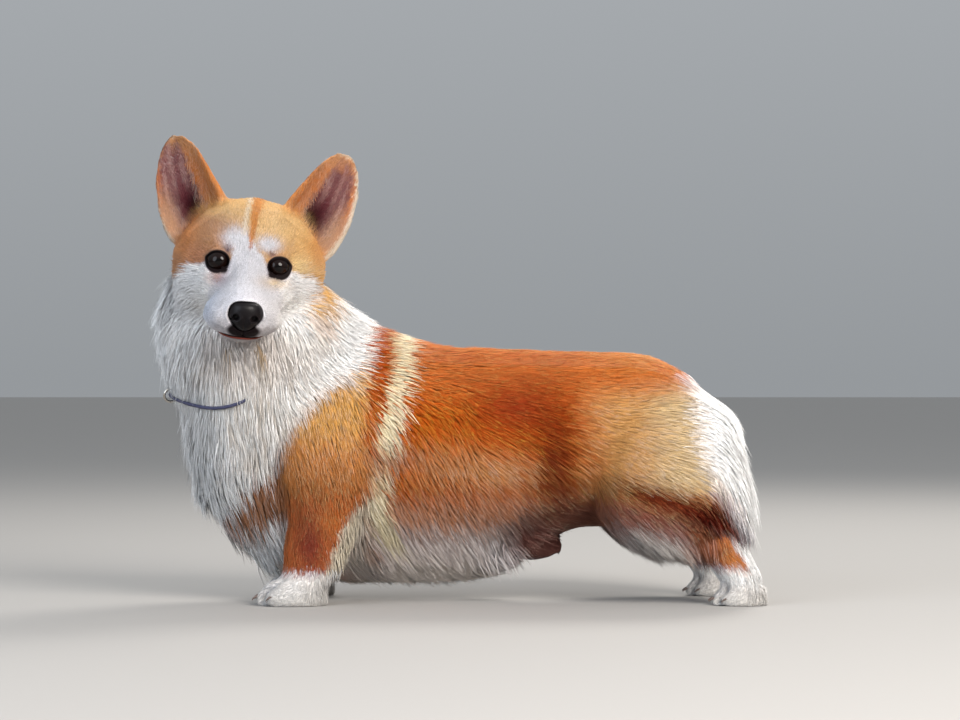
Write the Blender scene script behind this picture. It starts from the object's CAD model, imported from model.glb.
# A still, life-size Pembroke Welsh Corgi in a show stance: one skin under a coat of solid tufts, with its
# eyes, nose leather, claws and slip collar. Lengths named here are millimetres unless they say otherwise.
import math

import bpy
import numpy as np
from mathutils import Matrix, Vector
from mathutils.bvhtree import BVHTree
from mathutils.kdtree import KDTree


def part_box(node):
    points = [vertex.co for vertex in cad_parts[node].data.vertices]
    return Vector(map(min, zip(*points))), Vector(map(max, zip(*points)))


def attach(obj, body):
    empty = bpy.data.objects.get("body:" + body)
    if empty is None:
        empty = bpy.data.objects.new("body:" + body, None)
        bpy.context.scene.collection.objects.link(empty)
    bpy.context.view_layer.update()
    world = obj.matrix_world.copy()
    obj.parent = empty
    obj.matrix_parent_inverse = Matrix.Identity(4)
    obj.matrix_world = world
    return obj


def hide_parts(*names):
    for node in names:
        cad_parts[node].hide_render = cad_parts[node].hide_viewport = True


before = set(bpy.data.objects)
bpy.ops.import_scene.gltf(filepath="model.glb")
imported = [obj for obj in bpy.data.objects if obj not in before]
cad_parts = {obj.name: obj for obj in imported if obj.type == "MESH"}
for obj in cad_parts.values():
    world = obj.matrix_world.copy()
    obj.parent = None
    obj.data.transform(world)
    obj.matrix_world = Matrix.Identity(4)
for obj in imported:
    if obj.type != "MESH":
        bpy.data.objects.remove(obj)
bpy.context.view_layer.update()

bl_info = {
    "name": "Show Corgi",
    "version": (1, 0, 0),
    "blender": (4, 5, 0),
    "location": "View3D > Sidebar > Corgi",
    "description": "Models a standing Pembroke Welsh Corgi with its coat, eyes, nose, claws and collar",
    "category": "Object",
}

MM = 0.001

# The drawing frame: millimetres, the dog faces -X, its left side faces -Y, the floor is at 0.
# The bobbed tail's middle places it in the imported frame.
TAIL_MIDDLE = (240.0, 0.0, 236.0)


def drawing_origin():
    low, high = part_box("tail")
    return (np.array(low) + np.array(high)) / 2 - np.array(TAIL_MIDDLE) * MM


ORIGIN = drawing_origin()


def drawn(points):
    """Frame metres to drawing millimetres."""
    return (np.asarray(points) - ORIGIN) / MM


def placed(points):
    """Drawing millimetres to frame metres."""
    return np.asarray(points) * MM + ORIGIN


# Head frame: between the eyes; side is towards the dog's left ear, forward towards the nose
HEAD_PLACE = np.array([-221.0, -92.0, 358.4])
HEAD_YAW, HEAD_PITCH, HEAD_ROLL = (math.radians(a) for a in (5.7, 10.5, 6.0))


def head_axes():
    level = np.array([math.sin(HEAD_YAW), -math.cos(HEAD_YAW), 0.0])
    right = np.array([math.cos(HEAD_YAW), math.sin(HEAD_YAW), 0.0])
    zenith = np.array([0.0, 0.0, 1.0])
    forward = level * math.cos(HEAD_PITCH) - zenith * math.sin(HEAD_PITCH)
    raised = zenith * math.cos(HEAD_PITCH) + level * math.sin(HEAD_PITCH)
    side = right * math.cos(HEAD_ROLL) - raised * math.sin(HEAD_ROLL)
    up = raised * math.cos(HEAD_ROLL) + right * math.sin(HEAD_ROLL)
    return np.array([side, forward, up])


HEAD_AXES = head_axes()


def to_head(points):
    return (points - HEAD_PLACE) @ HEAD_AXES.T


def from_head(points):
    return np.asarray(points) @ HEAD_AXES + HEAD_PLACE


EYE_CENTRE = np.array([30.4, -9.0, -0.5])
EYE_RADIUS = 13.0
NOSE_CENTRE = np.array([0.0, 80.0, -41.5])
NOSE_RADII = np.array([17.2, 12.5, 14.8])

# Ear edges in the head frame: [share of height, inner side, inner up, outer side, outer up]
EAR_EDGES = np.array([
    [0, 33, 46, 81, 6], [0.12, 36, 61, 90, 15], [0.28, 44, 75, 100, 33], [0.45, 53, 88, 106, 54],
    [0.62, 61, 100, 109, 76], [0.78, 70, 111, 108.5, 95], [0.91, 80, 118.5, 104, 111],
    [1, 88, 121.5, 96, 119],
])

FLESH = ("head", "lower_jaw", "ear", "neck", "chest", "barrel", "rump", "tail", "thigh", "hock", "hindpaw",
         "foreleg_upper", "foreleg_lower", "forepaw")
FILLERS = ("eye", "nose")
FAMILIES = FLESH + FILLERS
HEAD = ("head", "lower_jaw", *FILLERS)
PAWS = ("forepaw", "hindpaw")


def nodes_of(family):
    return [n for n in sorted(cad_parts) if n == family or n in (f"{family}_left", f"{family}_right")]


TOES = 4


def claw_names(foot, side):
    return [f"{foot}claw_{side}_{toe}" for toe in range(1, TOES + 1)]


def toe_forms(p):
    """Where the gaps between the toes are and where their knuckles are, each from 0 to 1."""
    x, y, z = p.T
    gaps, knuckles = np.zeros(len(p)), np.zeros(len(p))
    for foot, size in (("fore", 1.0), ("hind", 0.8)):
        for side in ("left", "right"):
            claws = [drawn(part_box(name)).mean(0) for name in claw_names(foot, side)]
            low = smooth(34 * size, 22 * size, z)
            for claw in claws:
                ahead = np.hypot((x - claw[0] - 11) / 9, (y - claw[1]) / 6) / size
                knuckles = np.maximum(knuckles, np.exp(-ahead ** 2) * low)
            for one, other in zip(claws, claws[1:]):
                back, aside, _ = (p - (one + other) / 2).T
                reach = smooth(40 * size, 20 * size, back) * (back > -16)
                gaps = np.maximum(gaps, ridge(aside, 0, 2.4 * size) * reach * low)
    return gaps, knuckles


# sRGB colours of skin and coat, as seen in even light


def linear(code):
    """Linear colour of an sRGB hex value."""
    parts = [int(code[i:i + 2], 16) / 255 for i in (1, 3, 5)]
    return np.array([p / 12.92 if p <= 0.04045 else ((p + 0.055) / 1.055) ** 2.4 for p in parts])


def smooth(low, high, values):
    """Soft step: 0 up to low, 1 from high; it falls where low is the greater."""
    t = np.clip((values - low) / (high - low), 0.0, 1.0)
    return t * t * (3 - 2 * t)


def ridge(values, centre, radius, power=2):
    """Soft ridge, 1 at its centre; a higher power gives it a flat top."""
    return np.exp(-((values - centre) / radius) ** power)


def spot(x, z, centre, radii):
    """Soft round patch, 1 in its middle."""
    return np.exp(-((x - centre[0]) / radii[0]) ** 2 - ((z - centre[1]) / radii[1]) ** 2)


def along(values, places):
    """Reads a curve given as ((place, value), ...)."""
    places = sorted(places)
    return np.interp(values, [p[0] for p in places], [p[1] for p in places])


def noise(points, size, seed):
    """Smooth value noise from -1 to 1, with bumps of the given size."""
    q = points / size + 1000.0
    cell = np.floor(q).astype(np.int64)
    t = q - cell
    t = t * t * (3 - 2 * t)
    total = np.zeros(len(points))
    for corner in range(8):
        step = np.array([corner & 1, corner >> 1 & 1, corner >> 2 & 1])
        a, b, c = (cell + step).T
        h = (a * 73856093 ^ b * 19349663 ^ c * 83492791 ^ (seed + 1) * 2654435761) & 0xFFFFFFFF
        for shift, factor in ((15, 2246822519), (13, 3266489917)):
            h = (h ^ h >> shift) * factor & 0xFFFFFFFF
        value = (h ^ h >> 16) / 0xFFFFFFFF * 2 - 1
        total += value * np.prod(np.where(step == 1, t, 1 - t), axis=1)
    return total


class Paint:
    """Colour at many points, laid on in coats."""

    def __init__(self, count, base):
        self.colour = np.tile(linear(base), (count, 1))

    def lay(self, mask, code):
        mask = np.clip(mask, 0, 1)[:, None]
        self.colour = self.colour * (1 - mask) + linear(code) * mask

    def dab(self, a, b, *patches):
        """Lays soft round patches, each given as strength, its centre and radii along a and b, and colour."""
        for strength, centre_a, centre_b, radius_a, radius_b, code in patches:
            self.lay(strength * spot(a, b, (centre_a, centre_b), (radius_a, radius_b)), code)


WHITE, FACE_WHITE, BLAZE_WHITE, TAN = "#FAF8F7", "#EEECED", "#C8C6CC", "#A47C54"


def trunk_colour(p, normal):
    """Markings of neck, chest, barrel, rump and thighs."""
    x, y, z = p.T
    drift = noise(p, 26, 3) * 5 + noise(p, 9, 4) * 3
    xw = x + drift
    paint = Paint(len(p), "#A9450F")
    # Back and croup
    paint.lay(smooth(195, 245, z), "#B65721")
    paint.dab(xw, z, (0.85, 60, 208, 50, 34, "#7E2410"), (0.5, 190, 262, 50, 16, "#C2742E"))
    # Flank, paling down to the fringe, and the dark stripe before the thigh
    paint.dab(xw, z, (0.6, -10, 142, 50, 22, "#BC7A44"), (0.6, 48, 138, 45, 18, "#B98450"))
    paint.lay(0.8 * smooth(128, 92, z), "#AE7450")
    paint.lay(0.8 * smooth(90, 46, z), "#E2D4CA")
    paint.dab(xw, z, (0.85, 103, 150, 24, 66, "#4E120A"), (0.7, 150, 118, 50, 15, "#642A18"))
    # Thigh, gold to white behind, with the dark band across it
    thigh = smooth(112, 172, xw) * smooth(244, 206, z)
    paint.lay(0.9 * thigh * smooth(98, 125, z), "#BE844A")
    paint.lay(0.75 * thigh * smooth(178, 240, xw) * smooth(105, 130, z), "#CFAA78")
    below = along(xw, ((150, 122), (190, 114), (232, 101), (262, 88), (300, 68))) - z
    paint.lay(0.85 * smooth(130, 180, xw) * smooth(6, 18, below), "#703C31")
    paint.lay(0.65 * smooth(150, 200, xw) * smooth(26, 50, below), "#DCCDBB")
    paint.lay(0.8 * smooth(232, 252, xw) * smooth(6, 16, below), "#8E4A28")
    paint.dab(xw, z, (0.8, 132, 92, 32, 17, "#5A3029"))
    paint.lay(0.95 * ridge(below, -4, 17) * smooth(130, 200, xw), "#4C0A03")
    paint.dab(xw, z, (0.92, 262, 88, 26, 17, "#2A0503"))
    pants = along(z, ((60, 315), (92, 293), (112, 277), (144, 264), (175, 252), (206, 254), (236, 249),
                      (262, 266)))
    paint.lay(smooth(-16, 16, xw - pants), WHITE)
    # Shoulder, before the saddle band
    saddle = along(z, ((44, -62), (65, -72), (91, -83), (112, -86), (136, -84), (158, -75), (202, -64),
                       (243, -57), (274, -55), (300, -54)))
    away = x + drift * 0.25 - saddle
    shoulder = smooth(-12, -34, away)
    paint.lay(0.9 * shoulder * smooth(235, 185, z), "#C06A28")
    paint.lay(0.6 * shoulder * spot(x, z, (-128, 196), (30, 26)), "#DA943A")
    paint.lay(0.6 * shoulder * smooth(150, 100, z), "#9C5428")
    paint.lay(0.9 * shoulder * smooth(108, 76, z) * smooth(-125, -100, x), "#A58A78")
    # White collar and bib, with its border over the shoulder
    border = along(z, ((60, -184), (112, -184), (144, -182), (159, -175), (175, -161), (191, -146),
                       (211, -126), (232, -112), (253, -99), (290, -88), (320, -84)))
    bib = smooth(16, -16, x + drift * 1.6 - border)
    paint.lay(0.6 * ridge(x - border, 20, 14), "#DA9A46")
    paint.lay(0.75 * ridge(x - border, 4, 14), "#D8B48A")
    paint.lay(bib, WHITE)
    # Dark line, saddle band and the streak beside the cheek
    paint.lay(ridge(away, -23, 10, 4) * smooth(120, 180, z) * smooth(330, 290, z), "#9E3A0E")
    paint.lay(0.95 * ridge(away, 0, 12, 4) * smooth(40, 60, z), "#EBCB98")
    paint.dab(xw, z, (1.2, -141, 322, 13, 36, "#D8923C"))
    # Cream and tan strands in the bib
    strand = smooth(-0.1, 0.7, noise(p * np.array([1.0, 1.0, 0.22]), 6.5, 7))
    paint.lay(bib * (0.5 + 0.5 * strand) * spot(x, z, (-222, 256), (64, 28)), TAN)
    paint.lay(bib * (0.25 + 0.5 * strand) * spot(x, z, (-186, 200), (62, 46)), "#C4A67C")
    paint.lay(bib * (0.2 + 0.5 * strand) * spot(x, z, (-208, 146), (40, 44)), "#BA9C76")
    low = along(x, ((-250, 84), (-222, 112), (-200, 134), (-184, 150), (-170, 160)))
    paint.lay(smooth(-262, -236, x) * smooth(8, -10, z - low + drift) * smooth(50, 78, z - 0.5 * (x + 222)),
              "#A06440")
    # Belly, white underneath, and the sheath
    paint.lay(0.8 * smooth(-0.55, -0.9, normal[:, 2]) * smooth(150, 110, z) * smooth(95, 60, x), "#E8DFD2")
    paint.lay(1.2 * spot(xw, z, (92, 62), (50, 36)) * smooth(110, 60, np.abs(y)), "#543028")
    return paint.colour


def head_colour(p, normal):
    """Markings of the head, ears aside, drawn as seen from the photo's side, from between the eyes."""
    across, _, above = (p - HEAD_PLACE).T
    s = across * math.cos(HEAD_ROLL) - above * math.sin(HEAD_ROLL)
    u = above * math.cos(HEAD_ROLL) + across * math.sin(HEAD_ROLL)
    out = np.abs(s)
    head = to_head(p)
    forward = head[:, 1]
    wobble = noise(p, 7, 11) * 2.0
    paint = Paint(len(p), "#CF9558")
    paint.dab(out, u, (0.6, 26, 44, 22, 18, "#DEAE78"))
    paint.lay(0.7 * smooth(0, -40, s) * smooth(60, 40, u), "#A56A4E")
    paint.dab(out, u, (0.5, 38, 17, 13, 8, "#A86A3A"))
    paint.dab(s, u, (0.75, 56, 4, 18, 14, "#E6BC80"), (0.6, -56, 4, 18, 14, "#A0654A"))
    paint.dab(out, u, (0.6, 72, 28, 14, 34, "#B8652A"))
    # Cheeks, muzzle and throat
    level = along(out, ((0, 6), (28, -1), (43, -1), (53, -4), (65, -5), (72, -9), (80, -22), (88, -34)))
    front = smooth(-95, -55, forward)
    paint.lay(smooth(3.5, -3.5, u - level + wobble) * front, FACE_WHITE)
    paint.lay((1 - front) * smooth(10, -20, u + wobble), WHITE)
    # Blaze between the eyes, brow patches and the line up the forehead
    half = along(u, ((-30, 40), (-8, 27), (0, 19), (8, 17), (16, 13), (24, 11), (32, 5), (40, 0)))
    centre = along(u, ((-10, 1), (10, 0), (24, -8), (40, -12)))
    brow = smooth(-60, -35, forward)
    blaze = smooth(2.5, -2.5, np.abs(s - centre) - half + wobble * 0.6)
    paint.lay(brow * blaze * smooth(38, 30, u), BLAZE_WHITE)
    paint.lay(brow * spot(s, u, (-16, 27), (12, 11)) * 1.25, BLAZE_WHITE)
    paint.lay(brow * spot(s, u, (19, 24), (11, 7.5)) * 1.25, BLAZE_WHITE)
    crown = smooth(-100, -70, forward)
    paint.lay(0.45 * crown * ridge(s, -8.5, 2.2) * smooth(28, 36, u), "#F0DCC0")
    wedge = 0.8 + 0.085 * (u - 12)
    paint.lay(0.85 * crown * smooth(1.5, -1.5, np.abs(s - 0.5) - wedge) * smooth(13, 20, u), "#B86A2C")
    # Dark marks by the eyes' inner corners, tan ones below them
    paint.dab(s, u, (0.95, -22.5, 13.5, 3.8, 4.8, "#4E3A44"), (0.85, 24, 13, 4.8, 3.2, "#74504E"),
              (0.85, -31, -17, 11, 8, "#B07860"), (0.8, 31, -16, 12, 6, "#DBAE74"))
    paint.lay(0.95 * ridge(s, 82, 7) * smooth(-70, -46, u) * smooth(6, -6, u), "#E0983E")
    for sign in (-1, 1):
        local, ratio = lid_place(head, sign)
        paint.lay(0.6 * smooth(1.5, 1.2, ratio) * (local[:, 1] > -9), "#84604C")
    # Cream on the cheeks and throat, a cool shade on the muzzle's side
    paint.dab(s, u, (0.35, 56, -42, 20, 20, "#E8DAC0"), (0.35, -46, -44, 16, 22, "#D3C7B4"),
              (0.65, 0, -92, 40, 24, "#B48E66"))
    paint.lay(0.7 * spot(s, u, (-34, -48), (12, 22)) * smooth(10, 40, forward), "#B4BED2")
    return paint.colour


def ear_places(head_points):
    """Share of the ear's height and place across it, from -1 at its inner edge to 1 at its outer one."""
    s, u = np.abs(head_points[:, 0]), head_points[:, 2]
    shares = np.linspace(-0.1, 1.05, 47)
    edges = [np.interp(shares, EAR_EDGES[:, 0], EAR_EDGES[:, k]) for k in range(1, 5)]
    # Below its foot the ear's edges run on straight
    under = shares < 0
    for edge, slope in zip(edges, (10, 120, 40, 80)):
        edge[under] += slope * shares[under]
    inner = np.stack(edges[:2], 1)
    across = np.stack(edges[2:], 1) - inner
    dx = s[:, None] - inner[None, :, 0]
    du = u[:, None] - inner[None, :, 1]
    cross = across[None, :, 0] * du - across[None, :, 1] * dx
    row = np.clip((cross > 0).sum(1) - 1, 0, len(shares) - 2)
    pick = np.arange(len(s))
    a, b = cross[pick, row], cross[pick, row + 1]
    mix = np.clip(a / np.where(np.abs(a - b) < 1e-9, 1.0, a - b), 0, 1)
    share = shares[row] + mix * (shares[1] - shares[0])
    start, run = (rows[row] * (1 - mix[:, None]) + rows[row + 1] * mix[:, None] for rows in (inner, across))
    place = ((s - start[:, 0]) * run[:, 0] + (u - start[:, 1]) * run[:, 1]) / (run ** 2).sum(1)
    return share, place * 2 - 1


def ear_colour(p, normal):
    """Orange outside and round the rim, mauve-brown inside, nearly black in the hollow."""
    share, place = ear_places(to_head(p))
    inside = smooth(-0.05, 0.35, normal @ HEAD_AXES[1])
    wobble = noise(p, 6, 21) * 0.08
    streak = smooth(-0.2, 0.8, noise(np.stack([place * 9, share * 2.2, 0 * share], 1), 1.0, 22))
    paint = Paint(len(p), "#C4682E")
    paint.lay(0.6 * smooth(0.5, 0.95, share), "#CE9260")
    hollow = inside * smooth(-0.55, -0.28, place + wobble) * smooth(0.97, 0.6, place + wobble)
    hollow *= smooth(0.97, 0.72, share + wobble)
    paint.lay(hollow, "#703C38")
    paint.lay(0.5 * hollow * streak, "#B48070")
    paint.lay(0.8 * hollow * smooth(0.62, 0.3, share) * smooth(0.6, 0.1, place), "#521F22")
    paint.lay(0.95 * hollow * spot(place, share, (-0.15, 0.18), (0.5, 0.17)), "#140306")
    paint.lay(0.7 * inside * smooth(0.25, 0.7, place) * smooth(0.6, 0.2, share), "#C08A62")
    rim = smooth(0.78, 1.0, np.abs(place)) * smooth(0.9, 0.2, share) + smooth(0.9, 1.0, share)
    paint.lay(0.75 * smooth(0.86, 1.04, place), "#E9D3B4")
    paint.lay(0.55 * smooth(0.93, 1.0, share), "#E9D3B4")
    paint.lay(0.35 * rim * inside * smooth(0.0, -1.0, place), "#D98B45")
    return paint.colour


def foreleg_colour(p, normal):
    """Red-brown with a darker core, cream feathering behind and inside, white below."""
    x, y, z = p.T
    paint = Paint(len(p), "#B96F37")
    paint.lay(0.6 * smooth(150, 195, z + noise(p, 9, 34) * 14), "#D09448")
    paint.lay(smooth(135, 100, z + noise(p, 12, 33) * 6), "#A9552A")
    paint.dab(x, z, (0.6, -140, 122, 52, 24, "#84451F"), (0.95, -156, 64, 17, 38, "#762C20"),
              (0.9, -132, 88, 13, 15, "#AE5826"))
    rear = along(z, ((20, -146), (50, -134), (84, -118), (110, -101), (140, -86)))
    paint.lay(0.95 * smooth(-5, 6, x - rear + noise(p, 8, 31) * 3) * smooth(120, 96, z), "#EDD9B8")
    inner = smooth(68, 52, np.abs(y)) * smooth(120, 90, z)
    paint.lay(0.7 * inner, "#E4D6C2")
    paint.lay(smooth(38, 24, z + noise(p, 7, 32) * 4), WHITE)
    return paint.colour


def hock_colour(p, normal):
    """Orange in front, white behind and below."""
    x, y, z = p.T
    # The right hock stands a little further forward
    axis = 303 + (z - 20) * (260 - 303) / (90 - 20) + np.where(y > 0, -18.0, 0.0)
    ahead = axis - x
    paint = Paint(len(p), "#BA662E")
    paint.lay(0.7 * smooth(2, 16, ahead), "#7E3C2C")
    paint.lay(smooth(-8, -16, ahead + noise(p, 8, 41) * 3), WHITE)
    paint.lay(smooth(44, 30, z + noise(p, 7, 42) * 4), WHITE)
    paint.lay(0.7 * smooth(62, 50, np.abs(y)) * smooth(24, 36, z), "#8C4B3A")
    return paint.colour


def paw_colour(p, normal):
    """White, shaded towards the soles and between the toes."""
    paint = Paint(len(p), "#C9C3BE")
    paint.lay(0.3 * smooth(20, 0, p[:, 2]), "#C9BBA6")
    paint.lay(0.75 * toe_forms(p)[0], "#7E6A62")
    return paint.colour


# Families of nodes that share one scheme of markings
SCHEMES = (
    (("neck", "chest", "barrel", "rump", "tail", "thigh"), trunk_colour),
    (HEAD, head_colour),
    (("ear",), ear_colour),
    (("foreleg_upper", "foreleg_lower"), foreleg_colour),
    (("hock",), hock_colour),
    (PAWS, paw_colour),
)


def amount(weights, *families):
    """How much of these families together is at each point."""
    return weights[:, [FAMILIES.index(name) for name in families]].sum(1)


def coat_colour(p, normal, weights):
    """Markings at points in the drawing, mixed by how much each family of nodes is there."""
    total = np.zeros((len(p), 3))
    for families, scheme in SCHEMES:
        weight = amount(weights, *families)
        there = weight > 0.003
        if there.any():
            total[there] += scheme(p[there], normal[there]) * weight[there, None]
    total /= np.maximum(weights.sum(1), 1e-6)[:, None]
    # Pigment is drawn for evening sun; under the studio's white light it is held back
    pigment = smooth(0.6, 0.3, total[:, 2:3])
    return total * (1 - pigment * np.array([0.24, 0.13, 0.0]))


# Mesh helpers


def only(*pieces):
    """Selects just these pieces, the last one active."""
    bpy.ops.object.select_all(action="DESELECT")
    for piece in pieces:
        piece.select_set(True)
    bpy.context.view_layer.objects.active = pieces[-1]


def joined(*pieces):
    """Joins the pieces into the last of them."""
    only(*pieces)
    bpy.ops.object.join()
    return pieces[-1]


def pull(items, field, width, kind=np.float32):
    """One field of many mesh elements, as rows of an array."""
    values = np.empty(len(items) * width, kind)
    items.foreach_get(field, values)
    return values.reshape(-1, width)


def flat(values):
    """Rows of an array as Blender takes them."""
    return np.ascontiguousarray(values, np.float32).ravel()


def read(mesh):
    """Places, normals, edges and triangles of a mesh as arrays."""
    mesh.calc_loop_triangles()
    return (pull(mesh.vertices, "co", 3).astype(float), pull(mesh.vertex_normals, "vector", 3).astype(float),
            pull(mesh.edges, "vertices", 2, np.int32), pull(mesh.loop_triangles, "vertices", 3, np.int32))


def move(mesh, points):
    """Moves the vertices to places in the drawing and gives their new normals."""
    mesh.vertices.foreach_set("co", flat(placed(points)))
    mesh.update()
    return read(mesh)[1]


def shade_smooth(mesh):
    mesh.polygons.foreach_set("use_smooth", np.ones(len(mesh.polygons), bool))


def spread(values, edges, steps, share=0.5):
    """Evens values out over neighbouring vertices."""
    values = np.array(values, float)
    flat = values.reshape(len(values), -1)
    ends = np.concatenate([edges[:, 0], edges[:, 1]])
    others = np.concatenate([edges[:, 1], edges[:, 0]])
    degree = np.maximum(np.bincount(ends, minlength=len(flat)), 1)
    share = np.broadcast_to(share, (len(flat),))
    for _ in range(steps):
        for k in range(flat.shape[1]):
            mean = np.bincount(ends, weights=flat[others, k], minlength=len(flat)) / degree
            flat[:, k] += (mean - flat[:, k]) * share
    return flat.reshape(values.shape)


def unit(vectors):
    return vectors / np.maximum(np.linalg.norm(vectors, axis=-1, keepdims=True), 1e-9)


def flattened(vectors, normal):
    """Vectors turned into the surface."""
    return unit(vectors - normal * (vectors * normal).sum(1, keepdims=True))


# Attribute type and field for a vertex value of so many numbers
KINDS = {1: ("FLOAT", "value"), 3: ("FLOAT_VECTOR", "vector"), 4: ("FLOAT_COLOR", "color")}


def store(mesh, name, values):
    """Keeps an array of vertex values with the mesh."""
    kind, field = KINDS[values.size // len(values)]
    mesh.attributes.new(name, kind, "POINT").data.foreach_set(field, flat(values))


def stored(mesh, name, width=1):
    values = pull(mesh.attributes[name].data, KINDS[width][1], width).astype(float)
    return values if width > 1 else values[:, 0]


def colour_vertices(mesh, colours):
    store(mesh, "Coat", np.concatenate([colours, np.ones((len(colours), 1))], 1))


def new_piece(name, points, faces):
    """Object from places in the drawing and faces with equal numbers of corners."""
    mesh = bpy.data.meshes.new(name)
    mesh.vertices.add(len(points))
    mesh.vertices.foreach_set("co", flat(placed(points)))
    mesh.loops.add(faces.size)
    mesh.polygons.add(len(faces))
    mesh.polygons.foreach_set("loop_start", np.arange(0, faces.size, faces.shape[1], dtype=np.int32))
    mesh.polygons.foreach_set("vertices", np.ascontiguousarray(faces, np.int32).ravel())
    mesh.update(calc_edges=True)
    shade_smooth(mesh)
    piece = bpy.data.objects.new(name, mesh)
    bpy.context.collection.objects.link(piece)
    return piece


# Materials


def add_node(tree, kind, settings=None, **links):
    """Adds a node; settings are its properties or input values, links its inputs from other sockets."""
    node = tree.nodes.new(kind)
    for name, value in (settings or {}).items():
        if name in node.inputs:
            node.inputs[name].default_value = value
        else:
            setattr(node, name, value)
    for name, socket in links.items():
        tree.links.new(socket, node.inputs[name.replace("_", " ")])
    return node


def new_material(name, settings):
    """Material with these values on its Principled shader, with its tree and shader."""
    material = bpy.data.materials.new(name)
    material.use_nodes = True
    tree = material.node_tree
    shader = tree.nodes["Principled BSDF"]
    for socket, value in settings.items():
        shader.inputs[socket].default_value = value
    return material, tree, shader


def rgba(code):
    return (*linear(code), 1.0)


def coat_material():
    """Guard hair: keratin strands in tufts, matte with a soft sheen where light grazes them."""
    material, tree, shader = new_material(COAT_MATERIAL, {
        "Roughness": 0.62, "IOR": 1.55, "Specular IOR Level": 0.05, "Subsurface Weight": 0.5,
        "Subsurface Radius": (1.0, 1.0, 1.0)})
    colour = add_node(tree, "ShaderNodeAttribute", {"attribute_name": "Coat"})
    where = add_node(tree, "ShaderNodeTexCoord")
    # Strands about 0.4 mm apart inside a tuft
    strands = add_node(tree, "ShaderNodeTexNoise", {"Scale": 900.0, "Detail": 1.0},
                       Vector=where.outputs["Object"])
    shade = add_node(tree, "ShaderNodeMapRange",
                     {"From Min": 0.3, "From Max": 0.7, "To Min": 0.86, "To Max": 1.12},
                     Value=strands.outputs["Fac"])
    mixed = add_node(tree, "ShaderNodeVectorMath", {"operation": "SCALE"}, Vector=colour.outputs["Color"],
                     Scale=shade.outputs["Result"])
    for socket in ("Base Color", "Specular Tint"):
        tree.links.new(mixed.outputs["Vector"], shader.inputs[socket])
    # Pale hair passes light on for 3 mm, pigmented hair for less than half a millimetre
    parts = add_node(tree, "ShaderNodeSeparateColor", Color=colour.outputs["Color"])
    depth = add_node(tree, "ShaderNodeMapRange", {"From Max": 0.7, "To Min": 0.0004, "To Max": 0.003},
                     Value=parts.outputs["Blue"])
    tree.links.new(depth.outputs["Result"], shader.inputs["Subsurface Scale"])
    return material


def skin_material():
    """Skin: soft, slightly oily where bare, with fine pores and short fluff that breaks its gloss."""
    material, tree, shader = new_material(
        "Dog skin", {"Roughness": 0.55, "IOR": 1.4, "Specular IOR Level": 0.1})
    colour = add_node(tree, "ShaderNodeAttribute", {"attribute_name": "Coat"})
    where = add_node(tree, "ShaderNodeTexCoord")
    # Pores about half a millimetre apart
    pores = add_node(tree, "ShaderNodeTexNoise", {"Scale": 700.0, "Detail": 3.0},
                     Vector=where.outputs["Object"])
    bump = add_node(tree, "ShaderNodeBump", {"Strength": 0.5, "Distance": 0.0004},
                    Height=pores.outputs["Fac"])
    tree.links.new(colour.outputs["Color"], shader.inputs["Base Color"])
    tree.links.new(bump.outputs["Normal"], shader.inputs["Normal"])
    return material


# Skin

# Size of the skin's faces; they are halved on the face, and again round eyes and mouth
VOXEL = 2.6
# The skin's colour against the coat's, and that of its bare parts
SKIN_TONE = 0.97
BARE = "#120B0C"


def flesh_copy():
    """Copies of all flesh nodes, with the nose and eyes as fillers, joined and merged."""
    copies = []
    bpy.ops.object.select_all(action="DESELECT")
    for family in FAMILIES:
        for name in nodes_of(family):
            copy = bpy.data.objects.new("flesh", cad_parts[name].data.copy())
            bpy.context.collection.objects.link(copy)
            copies.append(copy)
    only(*copies)
    bpy.ops.object.join()
    body = bpy.context.view_layer.objects.active
    bpy.ops.object.mode_set(mode="EDIT")
    bpy.ops.mesh.select_all(action="SELECT")
    bpy.ops.mesh.remove_doubles(threshold=0.00001)
    bpy.ops.object.mode_set(mode="OBJECT")
    return body


def family_weights(points, edges, steps):
    """How much of each family is at each vertex, softened over the borders."""
    vertices, faces, owner = [], [], []
    for index, family in enumerate(FAMILIES):
        for name in nodes_of(family):
            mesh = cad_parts[name].data
            base = len(vertices)
            vertices += [v.co for v in mesh.vertices]
            mesh.calc_loop_triangles()
            faces += [tuple(base + i for i in t.vertices) for t in mesh.loop_triangles]
            owner += [index] * len(mesh.loop_triangles)
    tree = BVHTree.FromPolygons(vertices, faces)
    nearest = np.array([owner[tree.find_nearest(Vector(p))[2]] for p in points])
    weights = np.zeros((len(points), len(FAMILIES)))
    weights[np.arange(len(points)), nearest] = 1
    return spread(weights, edges, steps)


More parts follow.
